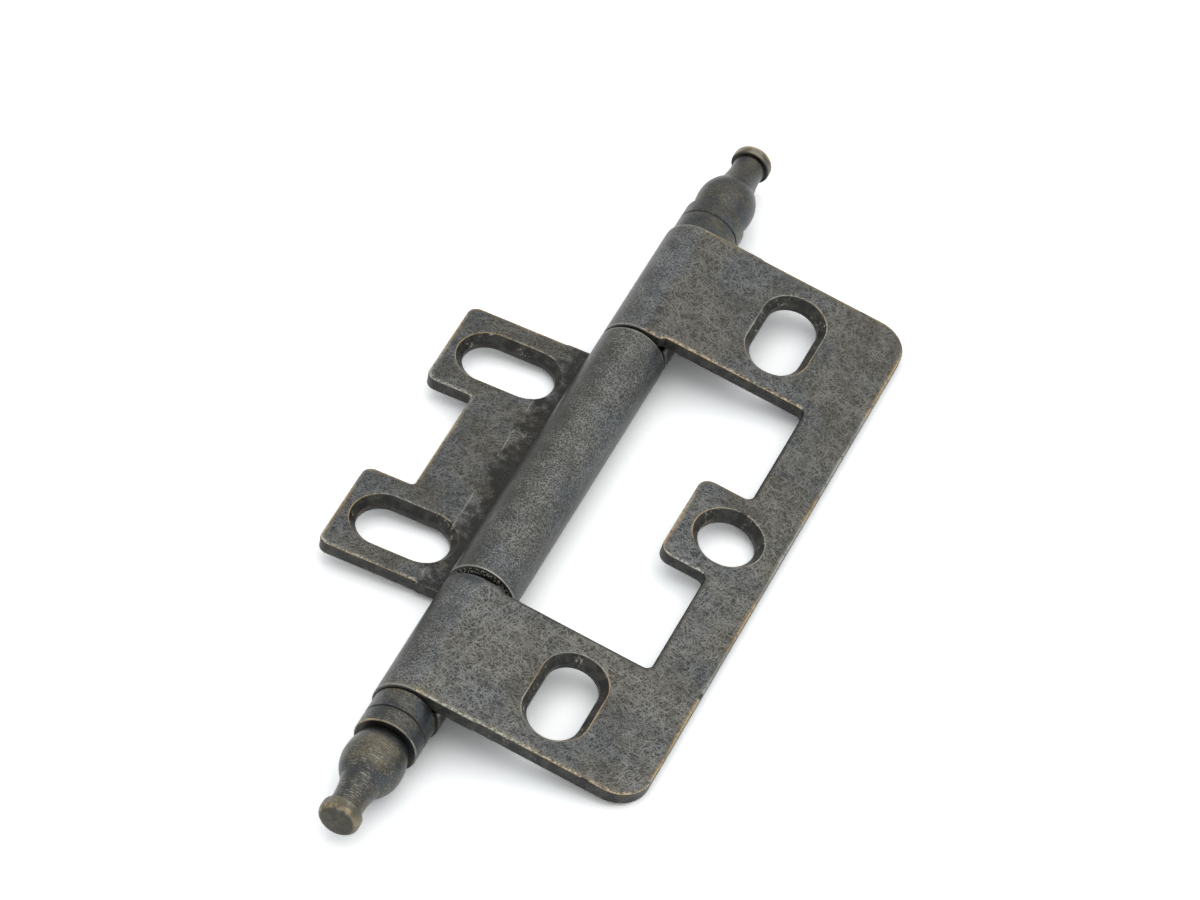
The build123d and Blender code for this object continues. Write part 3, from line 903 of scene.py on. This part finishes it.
class HINGE_OT_stage(bpy.types.Operator):
    """Add the floor, the light and the camera"""

    bl_idname = "hinge.stage"
    bl_label = "Stage"

    def execute(self, context):
        studio = context.scene.hinge.studio
        add_floor(studio)
        add_dome(context.scene, studio)
        add_key(studio)
        add_camera(context.scene, studio)
        context.scene.view_settings.view_transform = "Standard"
        return {"FINISHED"}


def seen_directly(tree):
    """1 for rays that show the backdrop itself: from the camera, in a gloss or through glass."""
    path = tree.nodes.new("ShaderNodeLightPath")
    total = path.outputs["Is Camera Ray"]
    for name in ("Is Glossy Ray", "Is Transmission Ray"):
        both = tree.nodes.new("ShaderNodeMath")
        both.operation = "MAXIMUM"
        tree.links.new(total, both.inputs[0])
        tree.links.new(path.outputs[name], both.inputs[1])
        total = both.outputs[0]
    return total


def add_floor(studio):
    half = studio.floor_size / 2
    mesh = bpy.data.meshes.new("floor")
    corners = [(-half, -half, 0), (half, -half, 0), (half, half, 0), (-half, half, 0)]
    mesh.from_pydata(corners, [], [range(4)])
    floor = bpy.data.objects.new("floor", mesh)
    floor.location.z = WHOLE_LOW.z
    bpy.context.scene.collection.objects.link(floor)
    shader = Shader("pale_floor")
    paper = shader.node("ShaderNodeBsdfDiffuse")
    white = shader.blend(seen_directly(shader.tree), 1.0, studio.floor_white)
    shader.feed(paper.inputs["Color"], shader.vector("SCALE", tuple(studio.floor), scale=white))
    output = shader.node("ShaderNodeOutputMaterial")
    shader.feed(output.inputs["Surface"], paper.outputs[0])
    mesh.materials.append(shader.material)


def add_dome(scene, studio):
    world = bpy.data.worlds.new("dome")
    world.use_nodes = True
    tree = world.node_tree
    tree.nodes.clear()
    light, white = (tree.nodes.new("ShaderNodeBackground") for _ in range(2))
    light.inputs["Color"].default_value = (*studio.dome, 1.0)
    white.inputs["Color"].default_value = (1.0, 1.0, 1.0, 1.0)
    either = tree.nodes.new("ShaderNodeMixShader")
    tree.links.new(seen_directly(tree), either.inputs[0])
    tree.links.new(light.outputs[0], either.inputs[1])
    tree.links.new(white.outputs[0], either.inputs[2])
    output = tree.nodes.new("ShaderNodeOutputWorld")
    tree.links.new(either.outputs[0], output.inputs["Surface"])
    scene.world = world


def add_key(studio):
    data = bpy.data.lights.new("key", "SUN")
    data.energy = studio.key_strength
    data.angle = studio.key_spread
    data.color = studio.key_colour
    key = bpy.data.objects.new("key", data)
    key.rotation_mode = "QUATERNION"
    key.rotation_quaternion = Vector(studio.key_from).to_track_quat("Z", "Y")
    bpy.context.scene.collection.objects.link(key)


def add_camera(scene, studio):
    """A long lens that looks down at the hinge from the photograph's angle."""
    data = bpy.data.cameras.new("camera")
    data.lens = studio.lens
    data.sensor_width = SENSOR_WIDTH
    data.clip_start, data.clip_end = CAMERA_CLIP
    camera = bpy.data.objects.new("camera", data)
    ahead = Vector(studio.camera_aim) - Vector(studio.camera_place)
    turn = ahead.to_track_quat("-Z", "Y").to_matrix().to_4x4() @ Matrix.Rotation(studio.camera_roll, 4, "Z")
    camera.matrix_world = Matrix.Translation(studio.camera_place) @ turn
    scene.collection.objects.link(camera)
    scene.camera = camera


# Panel


class HINGE_PT_panel(bpy.types.Panel):
    """The hinge's settings and the buttons that apply them"""

    bl_idname = "HINGE_PT_panel"
    bl_label = "Hinge"
    bl_space_type = "VIEW_3D"
    bl_region_type = "UI"
    bl_category = "Hinge"

    def draw(self, context):
        settings = context.scene.hinge
        for group in (settings.sheet, settings.turning, settings.pin, settings.studio):
            box = self.layout.box()
            for name in group.bl_rna.properties.keys():
                if name not in ("rna_type", "name"):
                    box.prop(group, name)
        for operator in OPERATORS:
            self.layout.operator(operator.bl_idname)


OPERATORS = (HINGE_OT_outer_leaf, HINGE_OT_inner_leaf, HINGE_OT_finials, HINGE_OT_pin, HINGE_OT_stage)
CLASSES = (SheetFinish, TurningFinish, PinFinish, Studio, HingeSettings, *OPERATORS, HINGE_PT_panel)


def register():
    for made in CLASSES:
        bpy.utils.register_class(made)
    bpy.types.Scene.hinge = PointerProperty(type=HingeSettings)


def unregister():
    del bpy.types.Scene.hinge
    for made in reversed(CLASSES):
        bpy.utils.unregister_class(made)


def main():
    register()
    bpy.ops.hinge.outer_leaf()
    bpy.ops.hinge.inner_leaf()
    bpy.ops.hinge.finials()
    bpy.ops.hinge.pin()
    bpy.ops.hinge.stage()


if __name__ == "__main__":
    main()
